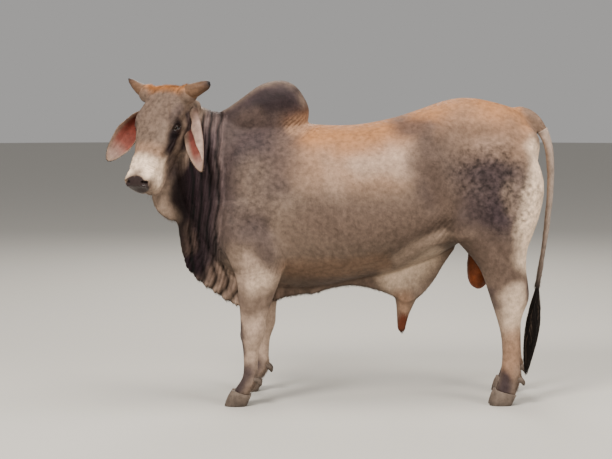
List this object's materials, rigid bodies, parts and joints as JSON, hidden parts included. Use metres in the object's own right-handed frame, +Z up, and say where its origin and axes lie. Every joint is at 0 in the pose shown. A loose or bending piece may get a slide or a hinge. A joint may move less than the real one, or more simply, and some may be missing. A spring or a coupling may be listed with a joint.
{
  "type": "zebu bull",
  "caption": "Life-size standing zebu bull with a tall hump, hanging dewlap, drooping ears, short horns and cloven feet.",
  "frame": {"origin": "under the middle of the bull's box, on the floor", "axes": "the bull faces -X, its left side faces -Y, +Z is up"},
  "size_m": [2.1928, 0.6942, 1.5726],
  "materials": {
    "hide": "short tan and grey coat over loose skin",
    "dark_hide": "short dark grey-brown coat over folded skin",
    "ears": "thin short coat, pink inside",
    "scrotum_skin": "bare orange-brown skin",
    "switch_hair": "long black hair",
    "horns": "grey-brown horn with dark tips",
    "claws": "dark hoof horn",
    "eyes": "wet dark eye"
  },
  "bodies": {
    "root": {"claw_fore_inner_left": "claws", "claw_fore_inner_right": "claws", "claw_fore_outer_left": "claws", "claw_fore_outer_right": "claws", "claw_hind_inner_left": "claws", "claw_hind_inner_right": "claws", "claw_hind_outer_left": "claws", "claw_hind_outer_right": "claws", "dewclaw_fore_inner_left": "claws", "dewclaw_fore_inner_right": "claws", "dewclaw_fore_outer_left": "claws", "dewclaw_fore_outer_right": "claws", "dewclaw_hind_inner_left": "claws", "dewclaw_hind_inner_right": "claws", "dewclaw_hind_outer_left": "claws", "dewclaw_hind_outer_right": "claws", "dewlap": "hide", "ear_left": "ears", "ear_right": "ears", "eye_left": "eyes", "eye_right": "eyes", "foreleg_left": "hide", "foreleg_right": "hide", "head": "hide", "hindleg_left": "hide", "hindleg_right": "hide", "horn_left": "horns", "horn_right": "horns", "hump": "dark_hide", "neck": "dark_hide", "scrotum": "scrotum_skin", "sheath": "hide", "tail": "hide", "tail_switch": "switch_hair", "torso": "hide"}
  },
  "joints": []
}
